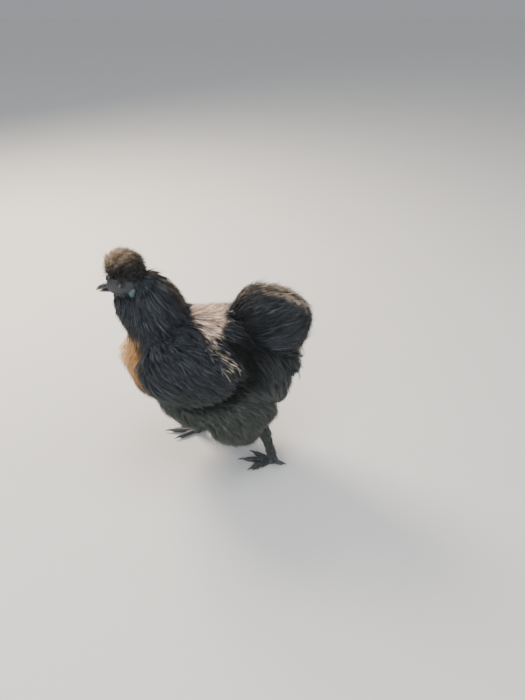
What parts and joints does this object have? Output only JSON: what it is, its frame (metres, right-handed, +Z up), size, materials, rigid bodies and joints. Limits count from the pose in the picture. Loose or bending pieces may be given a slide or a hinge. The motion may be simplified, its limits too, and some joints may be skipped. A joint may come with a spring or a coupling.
{
  "type": "silkie chicken",
  "caption": "Life-size standing silkie hen, still, with a rounded crest, turquoise earlobes, a long fluffy dark coat, a cushion tail and feathered feet.",
  "frame": {"origin": "on the floor, under the middle of the hen's whole box", "axes": "+Z up, the head faces -Y, +X is the hen's left"},
  "size_m": [0.1692, 0.3014, 0.3486],
  "materials": {
    "plumage": "soft silky charcoal plumage, browner on the crest, the back and the tail's top",
    "face_skin": "short dark face feathering over dark mulberry skin",
    "comb_skin": "matt dark mulberry skin",
    "lobe_skin": "matt pale turquoise skin",
    "eye": "wet glossy near-black eye",
    "horn": "slate horn with a paler tip, satin",
    "leg_skin": "slate black scaled skin"
  },
  "bodies": {
    "root": {"head": "face_skin", "comb": "comb_skin", "wattle_left": "comb_skin", "wattle_right": "comb_skin", "earlobe_left": "lobe_skin", "earlobe_right": "lobe_skin", "eye_left": "eye", "eye_right": "eye", "bill_upper": "horn", "bill_lower": "horn", "crest": "plumage", "neck": "plumage", "torso": "plumage", "tail": "plumage", "wing_left": "plumage", "wing_right": "plumage", "thigh_left": "plumage", "thigh_right": "plumage", "shank_left": "leg_skin", "shank_right": "leg_skin", "foot_left": "leg_skin", "foot_right": "leg_skin"}
  },
  "joints": []
}
